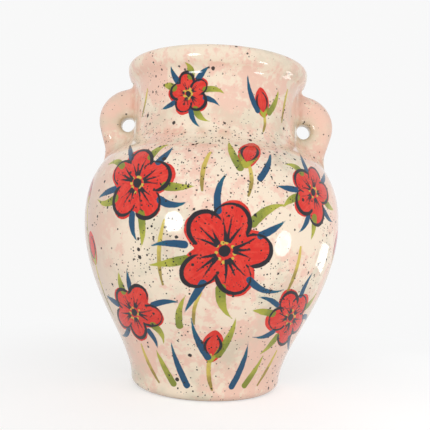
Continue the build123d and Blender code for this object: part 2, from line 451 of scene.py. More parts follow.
def ear_body(x, y, height):
    """Distance from a rounded tab: the hull of a large and a small circle, thickened with round edges. Its
    front is highest on a ring about the hole and sinks a little towards the hole and the rim."""
    axis = EAR_LOBE - EAR_TAIL
    length = np.hypot(*axis)
    axis = axis / length
    dx, dz = x - EAR_TAIL[0], height - EAR_TAIL[1]
    along = dx * axis[0] + dz * axis[1]
    across = np.abs(dx * axis[1] - dz * axis[0])
    lean = (EAR_TAIL_RADIUS - EAR_LOBE_RADIUS) / length
    stand = math.sqrt(1 - lean * lean)
    beside = -lean * across + stand * along
    flank = stand * across + lean * along - EAR_TAIL_RADIUS
    tail = np.hypot(across, along) - EAR_TAIL_RADIUS
    lobe = np.hypot(across, along - length) - EAR_LOBE_RADIUS
    edge = np.where(beside < 0, tail, np.where(beside > stand * length, lobe, flank))
    from_ring = np.hypot(x - HOLE_X, height - HOLE_HEIGHT) - EAR_CREST
    front = EAR_BACK - EAR_THICK + np.minimum(EAR_SINK * (from_ring / EAR_CREST) ** 2, EAR_SINK)
    face = np.maximum(front - y, y - EAR_BACK)
    edge, face = edge + EAR_ROUND, face + EAR_ROUND
    outside = np.hypot(np.maximum(edge, 0), np.maximum(face, 0))
    return np.minimum(np.maximum(edge, face), 0) + outside - EAR_ROUND


def fillet_reach(height):
    """How far the thumbed fillet reaches from the joint: more below the ear than above it."""
    return FILLET_BELOW + (FILLET_ABOVE - FILLET_BELOW) * ease(*FILLET_CHANGE, height)


def fillet_dive(tab, reach):
    """How deep the fillet's skirt dives into the wall, away from the tab."""
    return SKIRT_DIVE * ease(*SKIRT_BEND, tab / reach)


def fillet_share(x, y, height):
    """1 in the middle of the fillet between tab and vase, and 0 outside it."""
    tab, reach = ear_body(x, y, height), fillet_reach(height)
    lead = tab - depth_in_vase(x, y, height) - fillet_dive(tab, reach)
    return ease(FILLET_CORE, 1.0, 1 - np.abs(lead) / reach)


def ear_field(x, y, height):
    """Distance from the ear as it is pressed on: the tab and the vase run together in a thumbed fillet,
    whose skirt dives into the wall and ends there, less the bored hole with softened mouths and what lies
    deep inside."""
    vase = depth_in_vase(x, y, height)
    tab = ear_body(x, y, height)
    reach = fillet_reach(height)
    joined = soft_least(tab, vase + fillet_dive(tab, reach), reach)
    joined = -soft_least(-joined, vase + EAR_ROOT, EAR_EDGE_SOFT)
    joined = -soft_least(-joined, SKIRT_END * reach - tab, EAR_EDGE_SOFT)
    bore = HOLE_RADIUS - np.hypot(x - HOLE_X, height - HOLE_HEIGHT)
    bored = -soft_least(-joined, -bore, EAR_MOUTH_SOFT)
    return np.maximum(bored, y - EAR_CUT)


def skin_of(field, spans, step):
    """Closed skin of the field's zero level: one point in each grid cell that the level crosses, at the
    mean of the crossings on its edges, and one quad about each grid edge that the level crosses."""
    axes = [np.arange(a, b, step) for a, b in spans]
    value = field(*np.meshgrid(*axes, indexing="ij"))
    value = np.where(np.abs(value) < 1e-6, 1e-6, value)
    cells = tuple(n - 1 for n in value.shape)
    total = np.zeros(cells + (3,))
    count = np.zeros(cells)
    crossings = []
    for axis in range(3):
        first = np.take(value, range(value.shape[axis] - 1), axis)
        second = np.take(value, range(1, value.shape[axis]), axis)
        crossed = (first < 0) != (second < 0)
        place = np.stack(np.meshgrid(*[np.arange(n, dtype=float) for n in first.shape], indexing="ij"), -1)
        place[..., axis] += np.where(crossed, first / np.where(crossed, first - second, 1), 0)
        place *= crossed[..., None]
        others = [k for k in range(3) if k != axis]
        for shift_a in (0, 1):
            for shift_b in (0, 1):
                cut = [slice(None)] * 3
                cut[others[0]] = slice(shift_a, shift_a + cells[others[0]])
                cut[others[1]] = slice(shift_b, shift_b + cells[others[1]])
                total += place[tuple(cut)]
                count += crossed[tuple(cut)]
        crossings.append((axis, others, crossed, first < 0))
    used = count > 0
    number = np.full(cells, -1)
    number[used] = np.arange(used.sum())
    points = total[used] / count[used][:, None] * step + np.array([a for a, _ in spans])
    quads = []
    for axis, others, crossed, inside in crossings:
        at = np.argwhere(crossed)
        at = at[(at[:, others] > 0).all(1) & (at[:, others] < np.array(cells)[others]).all(1)]
        offsets = np.zeros((4, 3), int)
        offsets[[0, 0, 1, 3], [others[0], others[1], others[1], others[0]]] = -1
        ring = number[tuple((at[:, None] + offsets[None]).transpose(2, 0, 1))]
        forward = inside[tuple(at.T)] ^ (axis == 1)
        quads.append(np.where(forward[:, None], ring, ring[:, ::-1]))
    return points, np.concatenate(quads)


def ear_tab(side):
    """The right ear's skin, settled onto the field's zero level along its slope, or its mirror image."""
    points, quads = skin_of(ear_field, EAR_SPANS, EAR_GRID)
    for _ in range(SETTLE_ROUNDS):
        here = np.clip(ear_field(*points.T), -SETTLE_MOST, SETTLE_MOST)[:, None]
        slope = np.stack([
            ear_field(*(points + nudge).T) - ear_field(*(points - nudge).T)
            for nudge in SETTLE_PROBE * np.eye(3)], 1) / (2 * SETTLE_PROBE)
        steep = np.maximum((slope ** 2).sum(1), SETTLE_STEEP)[:, None]
        points = points - here * slope / steep
    points[:, 1] = np.minimum(points[:, 1], EAR_CUT)
    seam = fillet_share(*points.T)
    if side < 0:
        points = points * np.array([-1, 1, 1])
        quads = quads[:, ::-1]
    return points, quads.tolist(), {"seam": seam}


# Brushwork.

INKS = ("red", "olive", "blue", "navy", "mustard")
UNMARKED = 6.0
MARK_MARGIN = 5.0
PATH_STEP = 0.8
PETALS = 5
STAMENS = 9


class Brushwork:
    """Brush marks on a stretch of wall that is unrolled flat: across is the distance round from the
    front, up the distance along the outline. For each colour it keeps the distance from the nearest
    mark's edge, negative inside the mark, and how far along the mark that is. For the reds it also keeps
    the place across the petal or bud, which differs from one to the next."""

    def __init__(self, across, up, seed):
        self.across, self.up = across, up
        self.edge = {ink: np.full(across.shape, UNMARKED) for ink in INKS}
        self.along = {ink: np.zeros(across.shape) for ink in INKS}
        self.grain = np.zeros(across.shape)
        self.draw = np.random.default_rng(seed)

    def mark(self, ink, path, half):
        """A mark's edge distance is the least, over the points of its path, of the distance to the point
        less the half width there."""
        reach = half.max() + MARK_MARGIN
        low, high = path.min(0) - reach, path.max(0) + reach
        near = np.flatnonzero(
            (self.across > low[0]) & (self.across < high[0]) & (self.up > low[1]) & (self.up < high[1]))
        if len(near) == 0:
            return near
        gap = np.hypot(self.across[near, None] - path[:, 0], self.up[near, None] - path[:, 1]) - half
        best = gap.argmin(1)
        edge = gap[np.arange(len(near)), best]
        closer = edge < self.edge[ink][near]
        near, edge, best = near[closer], edge[closer], best[closer]
        self.edge[ink][near] = edge
        self.along[ink][near] = best / (len(path) - 1)
        return near

    def sweep(self, ink, start, bend, end, width, press):
        """A stroke along the curve from start past bend to end, whose width follows the brush's press."""
        points = np.array([start, bend, end], float)
        points[:, 1] = run_at(points[:, 1])
        length = np.hypot(*(points[2] - points[0]))
        t = np.linspace(0, 1, max(8, int(length / PATH_STEP)))
        s = t[:, None]
        path = points[0] * (1 - s) ** 2 + points[1] * 2 * s * (1 - s) + points[2] * s ** 2
        self.mark(ink, path, width / 2 * press(t))

    def blossom(self, x, height, size, turn):
        """Five broad petals round a dark eye. Each petal is a mark from the eye outwards, widest past its
        middle, with a loose outline, three veins towards the eye, and a ring of stamens."""
        middle = np.array([x, run_at(height)])
        draw = self.draw
        for k in range(PETALS):
            angle = turn + k * 2 * np.pi / PETALS + draw.uniform(-0.09, 0.09)
            long = size * draw.uniform(0.93, 1.04)
            wide = size * draw.uniform(0.36, 0.41)
            out = np.array([np.cos(angle), np.sin(angle)])
            side = np.array([-out[1], out[0]])
            t = np.linspace(0, 1, 40)
            half = wide * np.sin(np.pi * (0.12 + 0.60 * t)) ** 0.9
            path = middle + out * ((0.10 + 0.56 * t) * long)[:, None]
            bent = side * (0.05 * long * np.sin(np.pi * t) * draw.uniform(-1, 1))[:, None]
            near = self.mark("red", path + bent, half)
            away = np.stack([self.across[near], self.up[near]], 1) - middle
            self.grain[near] = away @ side + 61.0 * k + 13.0 * size

            u = np.linspace(draw.uniform(-2.3, -1.6), draw.uniform(1.5, 2.3), 48)
            shift = draw.uniform(-0.07, 0.05, 2) * size
            loop = middle + out * ((0.55 + 0.36 * np.cos(u)) * long + shift[0])[:, None]
            loop = loop + side * (draw.uniform(0.78, 0.95) * wide * np.sin(u) + shift[1])[:, None]
            press = 0.45 + 0.75 * np.sin(0.5 * (u - u[0]) + draw.uniform(0, 2)) ** 2
            press = press * ease(0, 0.15, np.linspace(0, 1, 48)) + 0.12
            self.mark("navy", loop, press * (0.55 + size / 50.0))
            for lean in (-0.27, 0.0, 0.25):
                spread = lean + draw.uniform(-0.06, 0.06)
                reach = draw.uniform(0.48, 0.68)
                r = np.linspace(0.20, reach, 30) * long
                vein = middle + out * (r * np.cos(spread))[:, None]
                vein = vein + side * (r * np.sin(spread * (0.8 + 0.5 * np.linspace(0, 1, 30))))[:, None]
                thin = np.linspace(1.0, 0.3, 30) * size / 33.0
                self.mark("navy", vein, thin)
        eye = middle + 0.02 * size * draw.uniform(-1, 1, (6, 2))
        self.mark("navy", eye, np.full(6, 0.10 * size))
        for k in range(STAMENS):
            angle = turn + k * 2 * np.pi / STAMENS + draw.uniform(-0.15, 0.15)
            place = middle + size * draw.uniform(0.14, 0.24) * np.array([np.cos(angle), np.sin(angle)])
            self.mark("mustard", place[None], np.array([draw.uniform(0.9, 1.35)]))

    def spray(self, x, height, size, turn):
        """Leaves in the gaps between a blossom's petals: each is a curved stroke from its tip inwards to
        the petals' edge, blue in every gap and green beside some of them."""
        middle = np.array([x, run_at(height)])
        draw = self.draw
        for k in range(PETALS):
            gap = turn + (k + 0.5) * 2 * np.pi / PETALS
            for ink, lean, share, broad in (("blue", -0.16, 1.0, 1.0), ("olive", 0.22, 0.72, 1.18)):
                angle = gap + lean + draw.uniform(-0.07, 0.07)
                tip = draw.uniform(1.30, 1.52) * size
                curl = draw.uniform(-0.30, 0.30)
                wide = draw.uniform(4.4, 5.6) * broad * (0.6 + 0.4 * size / 30.0)
                if draw.uniform() > share:
                    continue
                t = np.linspace(0, 1, 40)
                r = tip + (0.74 * size - tip) * t
                a = angle + curl * (1 - t) ** 2
                path = middle + np.stack([r * np.cos(a), r * np.sin(a)], 1)
                self.mark(ink, path, wide / 2 * leaf_press(t))

    def bud(self, x, height, size, lean):
        """A drop of red with two dark strokes and a forked green cup below."""
        up = np.array([np.sin(lean), np.cos(lean)])
        side = np.array([up[1], -up[0]])
        foot = np.array([x, run_at(height)])
        t = np.linspace(0, 1, 30)
        half = 0.36 * size * np.sin(np.pi * (0.16 + 0.78 * t)) ** 0.8
        near = self.mark("red", foot + up * (t * size)[:, None], half)
        away = np.stack([self.across[near], self.up[near]], 1) - foot
        self.grain[near] = away @ side + 29.0 * size
        for sign in (-1, 1):
            bulge = sign * 0.26 * size * np.sin(np.pi * t) ** 0.7
            line = foot + up * ((0.05 + 0.85 * t) * size)[:, None] + side * bulge[:, None]
            self.mark("navy", line, 0.25 + 0.75 * np.sin(np.pi * t) * size / 20.0)
            cup = foot + up * ((0.42 * t - 0.12) * size)[:, None]
            cup = cup + side * (sign * 0.30 * size * t)[:, None]
            self.mark("olive", cup, (1.5 - 1.1 * t) * size / 16.0)


def leaf_press(t):
    """Thin at the tip where the brush lands, full and blunt where it is pressed down."""
    return 0.10 + 0.90 * np.sin(np.pi / 2 * np.clip(t / 0.82, 0, 1)) ** 1.2


def line_press(t):
    """A line drawn with the brush's point, a little finer at both ends."""
    return 0.45 + 0.55 * np.sin(np.pi * np.clip(t, 0.02, 0.98)) ** 0.6


# Blossoms as (across, height, size, turn), buds as (across, height, size, lean), and single strokes as
# colour, three (across, height) points and width.
BLOSSOMS = (
    (-52.0, 150.0, 29.0, 0.30),
    (10.0, 108.0, 35.0, 1.27),
    (66.0, 62.0, 26.0, 0.75),
    (-54.0, 62.0, 25.0, 1.20),
    (78.0, 150.0, 24.0, 0.10),
    (-20.0, 216.0, 17.0, 0.60),
)
BUDS = (
    (22.0, 166.0, 22.0, 0.25),
    (36.0, 206.0, 17.0, -0.2),
    (-100.0, 96.0, 20.0, -0.3),
    (4.0, 34.0, 21.0, 0.12),
    (-116.0, 140.0, 18.0, -0.2),
    (122.0, 104.0, 20.0, 0.25),
)
BLADES = (
    ("mustard", (-30.0, 126.0), (-36.0, 104.0), (-30.0, 84.0), 3.0),
    ("olive", (-14.0, 78.0), (-20.0, 68.0), (-18.0, 56.0), 5.0),
    ("mustard", (-4.0, 80.0), (-10.0, 70.0), (-8.0, 58.0), 2.8),
    ("mustard", (-2.0, 172.0), (-8.0, 160.0), (-6.0, 146.0), 3.2),
    ("blue", (40.0, 176.0), (40.0, 166.0), (32.0, 156.0), 4.8),
    ("olive", (10.0, 182.0), (10.0, 174.0), (18.0, 162.0), 5.4),
    ("mustard", (23.0, 166.0), (28.0, 156.0), (24.0, 144.0), 3.0),
    ("mustard", (66.0, 112.0), (66.0, 98.0), (58.0, 82.0), 3.2),
    ("blue", (112.0, 66.0), (107.0, 52.0), (98.0, 38.0), 4.4),
    ("mustard", (90.0, 44.0), (87.0, 30.0), (78.0, 14.0), 3.0),
    ("blue", (-10.0, 62.0), (-8.0, 48.0), (2.0, 34.0), 5.0),
    ("olive", (20.0, 64.0), (18.0, 50.0), (9.0, 36.0), 5.6),
    ("mustard", (4.0, 36.0), (1.0, 22.0), (6.0, 9.0), 3.2),
    ("blue", (30.0, 46.0), (30.0, 30.0), (20.0, 12.0), 4.8),
    ("olive", (44.0, 34.0), (40.0, 24.0), (30.0, 12.0), 4.8),
    ("mustard", (58.0, 36.0), (52.0, 22.0), (42.0, 11.0), 3.0),
    ("blue", (-24.0, 44.0), (-22.0, 30.0), (-12.0, 12.0), 4.6),
    ("olive", (-36.0, 36.0), (-32.0, 26.0), (-22.0, 12.0), 5.0),
    ("mustard", (-50.0, 38.0), (-46.0, 24.0), (-34.0, 11.0), 3.0),
    ("mustard", (-100.0, 96.0), (-98.0, 78.0), (-84.0, 56.0), 3.0),
    ("mustard", (-60.0, 224.0), (-61.0, 216.0), (-66.0, 204.0), 2.6),
    ("mustard", (62.0, 228.0), (57.0, 216.0), (55.0, 202.0), 2.6),
    ("mustard", (36.0, 206.0), (39.0, 200.0), (36.0, 192.0), 2.6),
    ("blue", (22.0, 232.0), (22.0, 220.0), (31.0, 207.0), 4.2),
    ("olive", (50.0, 226.0), (49.0, 216.0), (41.0, 207.0), 4.6),
    ("blue", (-124.0, 172.0), (-124.0, 158.0), (-120.0, 146.0), 4.2),
    ("mustard", (-116.0, 142.0), (-116.0, 120.0), (-106.0, 92.0), 2.8),
    ("mustard", (122.0, 106.0), (118.0, 86.0), (104.0, 62.0), 2.8),
    ("blue", (134.0, 132.0), (132.0, 120.0), (126.0, 110.0), 4.2),
)


def paint(unrolled):
    """All the brush marks on one stretch of wall, as attributes: the edge distance of each colour, how far
    along its mark a point lies, and the place across a petal that its streaks follow."""
    work = Brushwork(*unrolled, seed=7)
    for x, height, size, turn in BLOSSOMS:
        work.blossom(x, height, size, turn)
        work.spray(x, height, size, turn)
    for x, height, size, lean in BUDS:
        work.bud(x, height, size, lean)
    for ink, start, bend, end, width in BLADES:
        work.sweep(ink, start, bend, end, width, line_press if ink == "mustard" else leaf_press)
    marks = {ink + "_edge": work.edge[ink] for ink in INKS}
    marks.update({ink + "_along": work.along[ink] for ink in INKS})
    marks["petal_grain"] = work.grain
    return marks


# Finishes.

def colour(red, green, blue):
    """A colour given as it shows on a screen, 0 to 255, as the linear values that a shader takes."""
    shown = np.array([red, green, blue]) / 255.0
    linear = np.where(shown <= 0.04045, shown / 12.92, ((shown + 0.055) / 1.055) ** 2.4)
    return (*linear.tolist(), 1.0)


class Value:
    """A number that varies over a surface: a socket that takes part in plain arithmetic."""

    def __init__(self, finish, socket):
        self.finish, self.socket = finish, socket

    def math(self, operation, *terms):
        return self.finish.node("ShaderNodeMath", {"operation": operation}, dict(enumerate(terms)))

    def __add__(self, other):
        return self.math("ADD", self, other)

    def __radd__(self, other):
        return self.math("ADD", other, self)

    def __sub__(self, other):
        return self.math("SUBTRACT", self, other)

    def __rsub__(self, other):
        return self.math("SUBTRACT", other, self)

    def __mul__(self, other):
        return self.math("MULTIPLY", self, other)

    def __rmul__(self, other):
        return self.math("MULTIPLY", other, self)

    def __pow__(self, other):
        return self.math("POWER", self, other)

    def size(self):
        return self.math("ABSOLUTE", self)

    def at_most(self, other):
        return self.math("MINIMUM", self, other)

    def at_least(self, other):
        return self.math("MAXIMUM", self, other)

    def also(self, output):
        """Another output of the same node."""
        return Value(self.finish, self.socket.node.outputs[output])


class Finish:
    """A material or surround under construction. node() adds any node: its type, settings and inputs."""

    def __init__(self, owner):
        owner.use_nodes = True
        self.tree = owner.node_tree
        self.tree.nodes.clear()
        self.place = self.node("ShaderNodeTexCoord", output="Object")

    def node(self, kind, settings=None, inputs=None, output=0):
        node = self.tree.nodes.new(kind)
        for key, value in (settings or {}).items():
            setattr(node, key, value)
        for key, value in (inputs or {}).items():
            if isinstance(value, Value):
                self.tree.links.new(value.socket, node.inputs[key])
            else:
                node.inputs[key].default_value = value
        return Value(self, node.outputs[output]) if len(node.outputs) else None

    def part(self, axis):
        """One of the three Object coordinates, in millimetres."""
        split = self.node("ShaderNodeSeparateXYZ", None, {0: self.place}, output=axis)
        return split * (1 / MM)

    def attribute(self, name):
        return self.node("ShaderNodeAttribute", {"attribute_name": name}, output="Fac")

    def noise(self, size, detail=2.0, rough=0.5, shift=0.0):
        """Soft noise from 0 to 1 whose features are about size millimetres across. The shift, in metres,
        takes it from another place, so that two noises differ."""
        spot = self.place
        if shift:
            spot = self.node("ShaderNodeVectorMath", {"operation": "ADD"}, {
                0: spot, 1: (shift, shift, -shift)})
        return self.node("ShaderNodeTexNoise", None, {
            "Vector": spot, "Scale": 1 / (size * MM), "Detail": detail, "Roughness": rough})

    def step(self, value, low, high):
        """Smooth step of a value, from 0 at low to 1 at high."""
        return self.node("ShaderNodeMapRange", {"interpolation_type": "SMOOTHSTEP"}, {
            "Value": value, "From Min": low, "From Max": high})

    def blend(self, share, first, second):
        """Mix of two colours."""
        return self.node("ShaderNodeMix", {"data_type": "RGBA"}, {0: share, 6: first, 7: second}, output=2)

    def tint(self, share, first, second):
        """First colour multiplied by the second, in part."""
        return self.node(
            "ShaderNodeMix", {"data_type": "RGBA", "blend_type": "MULTIPLY"},
            {0: share, 6: first, 7: second}, output=2)

    def bump(self, height, distance, strength=1.0, normal=None):
        inputs = {"Height": height, "Distance": distance * MM, "Strength": strength}
        if normal is not None:
            inputs["Normal"] = normal
        return self.node("ShaderNodeBump", None, inputs)

    def surface(self, **inputs):
        """Closes the material with one Principled shader."""
        sockets = {key.replace("_", " "): value for key, value in inputs.items()}
        shader = self.node("ShaderNodeBsdfPrincipled", None, sockets)
        self.node("ShaderNodeOutputMaterial", None, {"Surface": shader})

    def seen(self):
        """1 for what the camera, mirrors and glass see, 0 for plain lighting."""
        ray = self.node("ShaderNodeLightPath", output="Is Camera Ray")
        return ray.at_least(ray.also("Is Glossy Ray")).at_least(ray.also("Is Transmission Ray"))


CREAM = colour(246, 228, 205)
BLUSH = colour(242, 202, 182)
GREYED = colour(212, 206, 182)
# Painted shade: the colour that darkens the left side below the shoulder.
LEFT_SHADE = colour(214, 186, 168)
POOLED = colour(216, 208, 182)
# Painted shade: the warm darker colour laid in the neck crease and along the ears' joint.
CREASE_SHADE = colour(226, 184, 160)
SPECK = colour(30, 20, 18)
CLAY = colour(214, 188, 158)
CLAY_DARK = colour(186, 156, 126)
RED = colour(219, 30, 12)
RED_THIN = colour(230, 62, 44)
RED_DEEP = colour(202, 12, 8)
NAVY = colour(14, 8, 24)
NAVY_THIN = colour(30, 16, 36)
BLUE = colour(0, 73, 110)
BLUE_THIN = colour(4, 94, 116)
OLIVE = colour(122, 134, 14)
OLIVE_THIN = colour(172, 172, 46)
MUSTARD = colour(146, 126, 18)
MUSTARD_THIN = colour(208, 186, 70)

GLAZE_IOR = 1.5
GLAZE_ROUGH = 0.05
SEAM_ROUGH = 0.35
CLAY_ROUGH = 0.82
WAVE_DEPTH = 0.35
WAVE_STRENGTH = 0.5
GRIT_DEPTH = 0.25
GRIT_STRENGTH = 0.6

# Where the ground changes: a zone's start and its full strength, or a band's height and how far from that
# it holds and ends.
COLLAR_ZONE = -22.0, -2.0
RIM_ZONE = 28.0, 42.0
SHOULDER_HEIGHT = -38.0
SHOULDER_SPREAD = 12.0, 42.0
FLANK_ZONE = 52.0, 96.0
ABOVE_FOOT = -172.0, -112.0
RIGHT_ZONE = -6.0, 40.0
ABOVE_WAIST = -146.0, -92.0
LEFT_ZONE = 40.0, 99.0
ABOVE_BELLY = -62.0, -14.0
NECK_HEIGHT = -3.0
NECK_SPREAD = 3.0, 13.0
CREASE_HEIGHT = -13.5
CREASE_SPREAD = 0.8, 5.0
HOLE_POOL_SPREAD = 5.0, 15.0


def sponged_ground(f):
    """Cream glaze with sponged blush, most of it on the collar, the shoulder, the sides and the foot, above
    all at the lower right, with green-grey drifts, painted shade darkening the left side below the
    shoulder, pale pools, a warm darker line of painted shade in the neck crease, and green-grey pools
    round the holes."""
    x, z = f.part(0), f.part(2)
    side = x.size()
    more = 0.13 * f.step(z, *COLLAR_ZONE) - 0.12 * f.step(z, *RIM_ZONE)
    more = more + 0.09 * (1 - f.step((z - SHOULDER_HEIGHT).size(), *SHOULDER_SPREAD))
    more = more + 0.15 * f.step(side, *FLANK_ZONE) - 0.12 * f.step(z, *ABOVE_FOOT)
    more = more + 0.20 * f.step(x, *RIGHT_ZONE) * (1 - f.step(z, *ABOVE_WAIST))
    sponge = 0.85 * (f.noise(10.0, 3.0, 0.65, 0.31) - 0.5)
    sponge = sponge + 0.60 * (f.noise(3.6, 3.0, 0.65, 0.47) - 0.5)
    patch = f.noise(34.0, 3.0, 0.6) + sponge + more
    ground = f.blend(f.step(patch, 0.39, 0.60), CREAM, BLUSH)
    drift = f.noise(36.0, 2.0, 0.5, 0.77) + 0.3 * (f.noise(7.0, 2.0, 0.6, 0.5) - 0.5)
    ground = f.blend(f.step(drift, 0.50, 0.74) * 0.7, ground, GREYED)
    # Painted shade: the left side below the shoulder is darkened towards a dusky pink-grey.
    left_shade = f.step(0.0 - x, *LEFT_ZONE) * (1 - 0.8 * f.step(z, *ABOVE_BELLY))
    ground = f.blend(left_shade * 0.85, ground, LEFT_SHADE)
    waver = 7.0 * (f.noise(22.0, 2.0, 0.5, 0.9) - 0.5)
    pale = f.step(f.noise(19.0, 3.0, 0.6, 0.52), 0.40, 0.68)
    pale = pale * (1 - f.step((z - NECK_HEIGHT + waver).size(), *NECK_SPREAD))
    ground = f.blend(pale * 0.5, ground, POOLED)
    # Painted shade: a warm darker line along the neck crease.
    crease_shade = 1 - f.step((z - CREASE_HEIGHT + 0.7 * waver).size(), *CREASE_SPREAD)
    crease_shade = crease_shade * f.step(f.noise(13.0, 3.0, 0.6, 0.83), 0.38, 0.70)
    ground = f.tint(crease_shade * 0.5, ground, CREASE_SHADE)
    away = ((side - HOLE_X) ** 2.0 + z ** 2.0) ** 0.5
    pool = 1 - f.step(away + 7.0 * (f.noise(9.0, 2.0, 0.5, 0.21) - 0.5), *HOLE_POOL_SPREAD)
    return f.blend(pool * 0.75, ground, POOLED)


# Each size of speck: its cells' width, the largest speck as a share of that, the share of cells that hold
# one in a drift, what part of that share holds outside the drifts, and how much paler it is on the collar.
SPECK_SIZES = (
    (1.6, 0.36, 0.22, 0.05, 0.25),
    (2.2, 0.34, 0.26, 0.25, 0.25),
    (4.4, 0.27, 0.36, 0.25, 0.10),
    (9.0, 0.19, 0.42, 0.30, 0.02),
)
SPECK_BELT_FOOT = -135.0, -90.0
SPECK_BELT_TOP = -20.0, 2.0
SPECK_BELT_SIDE = 32.0, 76.0
SPECK_COLLAR_FADE = -30.0, 5.0
RAGGED_SCALE = 900.0
RAGGED_REACH = 0.9


def specks(f):
    """Spattered dark specks in four sizes, in drifts that are thickest on the front of the shoulder and the
    belly: the cells of a point pattern, of which a share holds a speck of its own size. The small ones
    are paler on the collar."""
    z = f.part(2)
    drift = f.noise(30.0, 2.0, 0.55, 0.13)
    belt = f.step(z, *SPECK_BELT_FOOT) * (1 - f.step(z, *SPECK_BELT_TOP))
    belt = belt * (1 - f.step(f.part(0).size(), *SPECK_BELT_SIDE))
    crowd = f.step(drift + 0.22 * belt, 0.42, 0.72)
    ragged = f.node(
        "ShaderNodeTexNoise", None, {"Vector": f.place, "Scale": RAGGED_SCALE}, output="Color")
    spot = f.node("ShaderNodeVectorMath", {"operation": "MULTIPLY_ADD"}, {
        0: ragged, 1: (RAGGED_REACH * MM,) * 3, 2: f.place})
    cover = None
    for cell, largest, few, stray, pale in SPECK_SIZES:
        far = f.node(
            "ShaderNodeTexVoronoi", None, {"Vector": spot, "Scale": 1 / (cell * MM)}, output="Distance")
        chance = f.node("ShaderNodeSeparateColor", None, {0: far.also("Color")}, output="Red")
        held = f.step(chance + few * (stray + 1.25 * crowd), 1.0, 1.02)
        reach = held * largest * (0.35 + 0.65 * chance.also("Green"))
        dot = f.step(reach - far, 0.0, 0.03) * (0.98 - pale * f.step(z, *SPECK_COLLAR_FADE))
        cover = dot if cover is None else cover.at_least(dot)
    return cover


def brushed(f, shade):
    """Brush marks over the ground, the reds first and the dark lines last. Their edges are a little ragged,
    and a stroke goes from thin to full colour along its length. Petals are streaked lengthwise, and deeper
    towards the eye and at the edge."""
    ragged = 0.55 * (f.noise(2.2, 2.0, 0.6, 0.4) - 0.5)
    ragged = ragged + 0.9 * (f.noise(9.0, 2.0, 0.5, 0.6) - 0.5)
    wash = f.noise(6.0, 3.0, 0.6, 0.15)

    def mark(ink, under, thin, full, low, cover=1.0):
        edge = f.attribute(ink + "_edge") + ragged
        inside = 1 - f.step(edge, -0.22, 0.22)
        along = f.attribute(ink + "_along")
        body = f.blend(f.step(along + 1.1 * (wash - 0.5), low, low + 0.6), thin, full)
        return f.blend(inside * cover, under, body)

    streak = f.node("ShaderNodeTexNoise", {"noise_dimensions": "1D"}, {
        "W": f.attribute("petal_grain"), "Scale": 0.55, "Detail": 3.0})
    red = f.attribute("red_edge") + ragged + 1.6 * (f.noise(12.0, 3.0, 0.6, 0.7) - 0.5)
    along = f.attribute("red_along")
    petal = f.blend(f.step(0.5 * streak + 0.8 * wash - 0.10 * along, 0.44, 0.80), RED, RED_THIN)
    petal = f.blend((1 - f.step(along + 0.3 * (wash - 0.5), 0.05, 0.55)) * 0.5, petal, RED_DEEP)
    petal = f.blend(f.step(red, -2.2, 0.0) * 0.25, petal, RED_DEEP)
    shade = f.blend(1 - f.step(red, -0.25, 0.25), shade, petal)
    shade = mark("mustard", shade, MUSTARD_THIN, MUSTARD, 0.25, 0.92)
    shade = mark("olive", shade, OLIVE_THIN, OLIVE, 0.30, 0.96)
    shade = mark("blue", shade, BLUE_THIN, BLUE, 0.0)
    return mark("navy", shade, NAVY_THIN, NAVY, -0.3)


def bared(f, wiped, shade, gloss, normal):
    """Gritty clay in place of the glaze, by the share that is wiped."""
    grit = f.noise(1.2, 3.0, 0.7, 0.2)
    earth = f.blend(f.noise(14.0, 3.0, 0.6, 0.44), CLAY, CLAY_DARK)
    earth = f.tint(grit * 0.25, earth, CLAY_DARK)
    shade = f.blend(wiped, shade, earth)
    gloss = gloss + wiped * (CLAY_ROUGH - gloss)
    return shade, gloss, f.bump(grit * wiped, GRIT_DEPTH, GRIT_STRENGTH, normal)


def glaze(name, painted=False, bare=None, seamed=False):
    """Glossy clear glaze over the ground, with brush marks where the piece is painted, a duller line along
    a seamed piece's joint that is tinted warm and darker there as painted shade, and bare clay where the
    glaze was wiped off."""
    material = bpy.data.materials.new(name)
    f = Finish(material)
    shade = sponged_ground(f)
    if painted:
        shade = brushed(f, shade)
    shade = f.blend(specks(f), shade, SPECK)
    gloss = GLAZE_ROUGH + GLAZE_ROUGH * f.noise(8.0, 2.0, 0.5, 0.35)
    if seamed:
        seam = f.attribute("seam")
        # Painted shade: a warm darker tint along the middle of the ear's fillet, which is also made duller.
        shade = f.tint(seam * f.step(f.noise(11.0, 3.0, 0.6, 0.61), 0.30, 0.65) * 0.55, shade, CREASE_SHADE)
        gloss = gloss + SEAM_ROUGH * seam
    wave = f.noise(17.0, 1.0, 0.4, 0.05) + 0.14 * f.noise(4.5, 1.0, 0.5, 0.66)
    normal = f.bump(wave, WAVE_DEPTH, WAVE_STRENGTH)
    if bare is not None:
        shade, gloss, normal = bared(f, bare(f), shade, gloss, normal)
    f.surface(Base_Color=shade, Roughness=gloss, IOR=GLAZE_IOR, Normal=normal)
    return material


def wiped_back(f):
    """Bare from just inside the back edge, along a wavering line."""
    return f.step(f.part(1) + 1.4 * (f.noise(8.0, 2.0, 0.5, 0.7) - 0.5), -1.6, -0.9)


def wiped_foot(f):
    """Bare on the underside and just round its edge."""
    return 1 - f.step(f.part(2) - FOOT_Z + 1.2 * (f.noise(8.0, 2.0, 0.5, 0.7) - 0.5), 0.6, 1.4)


PAINTED_GLAZE = glaze("painted_glaze", painted=True)
PLAIN_GLAZE = glaze("sponged_glaze")
SLAB_GLAZE = glaze("sponged_glaze_bare_back", bare=wiped_back)
EAR_GLAZE = glaze("sponged_glaze_seamed", bare=wiped_back, seamed=True)
FOOT_GLAZE = glaze("sponged_glaze_bare_foot", bare=wiped_foot)


# Assembly.

points, faces, sharp, unrolled, chart = half_ring(
    BASE_TOP, COLLAR_FOOT, rows=246, lining_rows=34, columns=330)
make_piece(
    "front_wall_shell", "front_wall", points, faces, PAINTED_GLAZE,
    paint(unrolled), sharp, chart)

